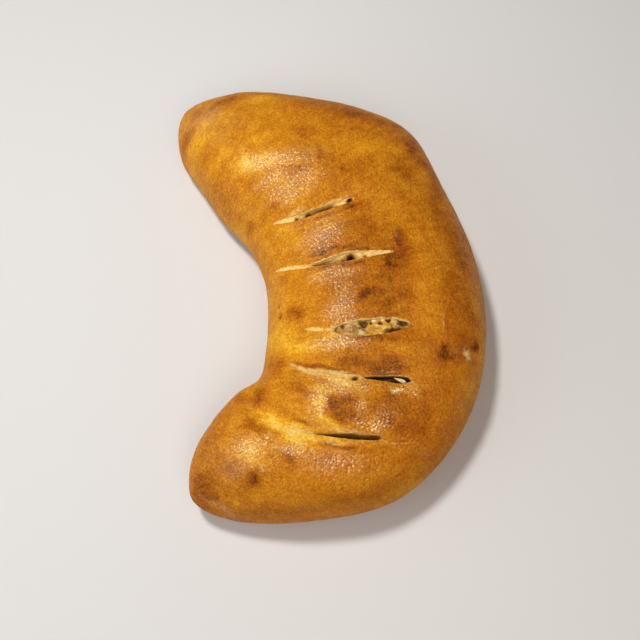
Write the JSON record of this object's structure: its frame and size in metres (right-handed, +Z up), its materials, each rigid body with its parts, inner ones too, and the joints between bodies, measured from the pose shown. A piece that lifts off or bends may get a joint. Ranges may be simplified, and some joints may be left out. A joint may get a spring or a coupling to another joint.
{
  "type": "stromboli",
  "caption": "Whole baked stromboli, a crescent loaf of golden brown dough with open slashes across its crest that show the filling inside.",
  "frame": {"origin": "centre of the bounding box's bottom face, on the surface that the loaf rests on", "axes": "+Z up, +Y along the crescent from its front tip to its back tip, +X from the hollow side of the bend to its bulging side"},
  "size_m": [0.1745, 0.2704, 0.0619],
  "materials": {
    "crust": "golden brown baked dough with an egg wash, darker brown patches and a fine pebbled gloss along the crest",
    "filling": "moist melted cheese and filling, pale yellow to grey brown"
  },
  "bodies": {
    "root": {"crust": "crust", "filling": "filling"}
  },
  "joints": []
}
